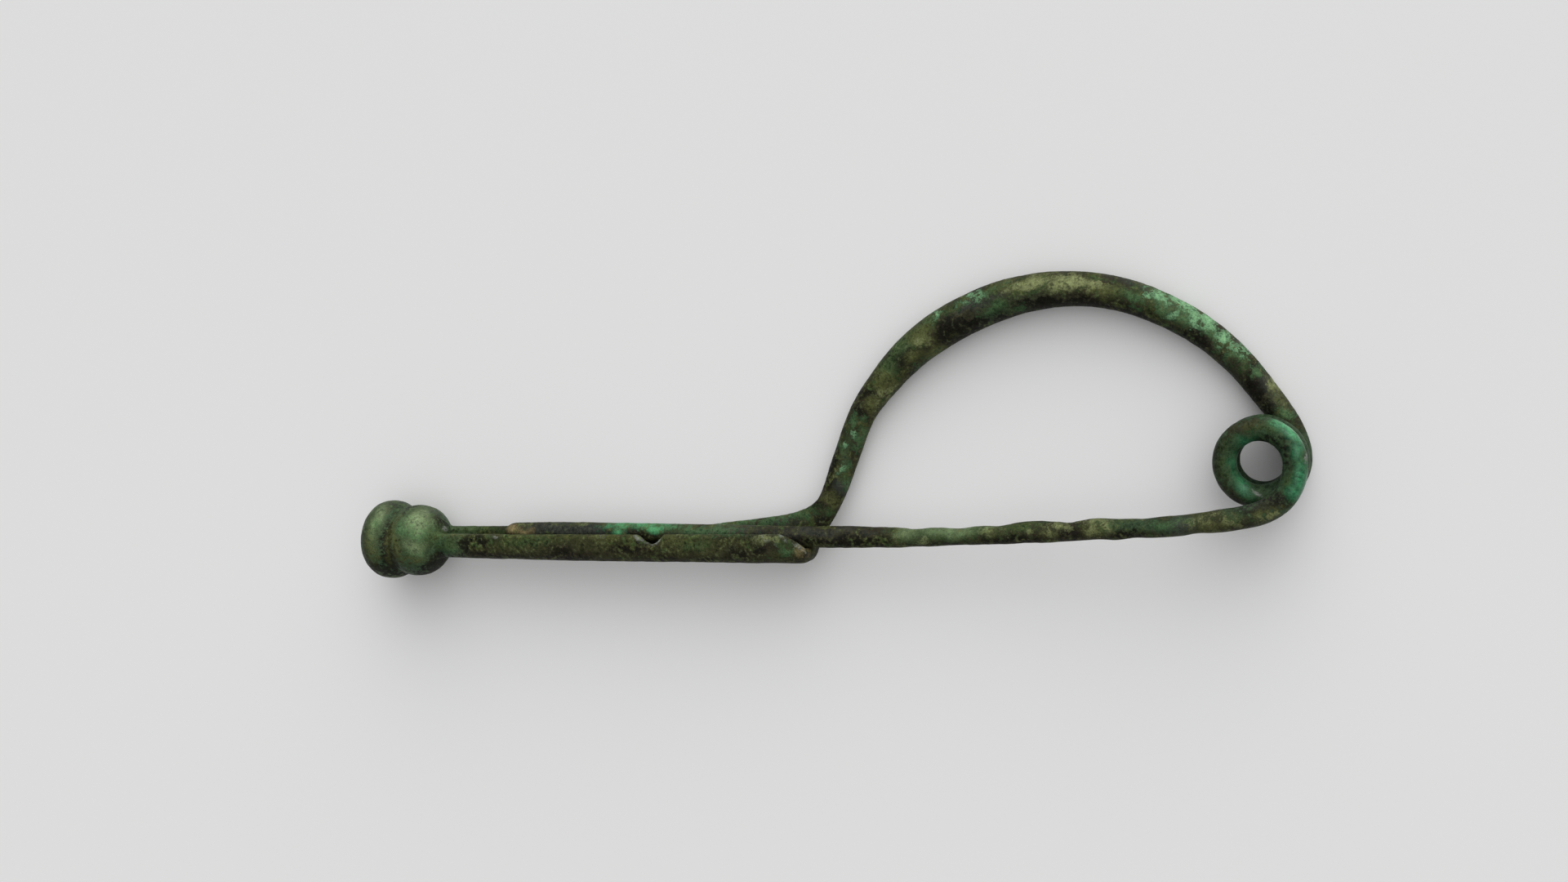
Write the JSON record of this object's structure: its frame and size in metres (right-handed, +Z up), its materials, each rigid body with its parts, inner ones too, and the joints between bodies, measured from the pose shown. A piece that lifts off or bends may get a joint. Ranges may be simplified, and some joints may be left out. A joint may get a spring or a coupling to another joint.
{
  "type": "bow brooch",
  "caption": "Ancient bronze bow brooch that works like a safety pin: arched bow, knobbed foot folded into a catch, coiled spring and long pin.",
  "frame": {"origin": "centre of the bounding box at the surface the brooch lies on", "axes": "+X from the knob to the spring, +Y from the foot to the top of the bow, +Z up from the surface"},
  "size_m": [0.1046, 0.0311, 0.0089],
  "materials": {
    "patinated_bronze": "satin green and brown patina"
  },
  "bodies": {
    "brooch": {"bow": "patinated_bronze", "spring": "patinated_bronze"},
    "pin": {"pin": "patinated_bronze"}
  },
  "joints": [
    {"name": "pin_swing", "type": "hinge", "parent": "brooch", "child": "pin", "pos_m": [0.04775, -0.00338, 0.0014], "axis": [0, 0, -1], "range_deg": [0, 10], "stiffness_Nm_per_rad": 1.7, "springref_deg": -2.86}
  ]
}
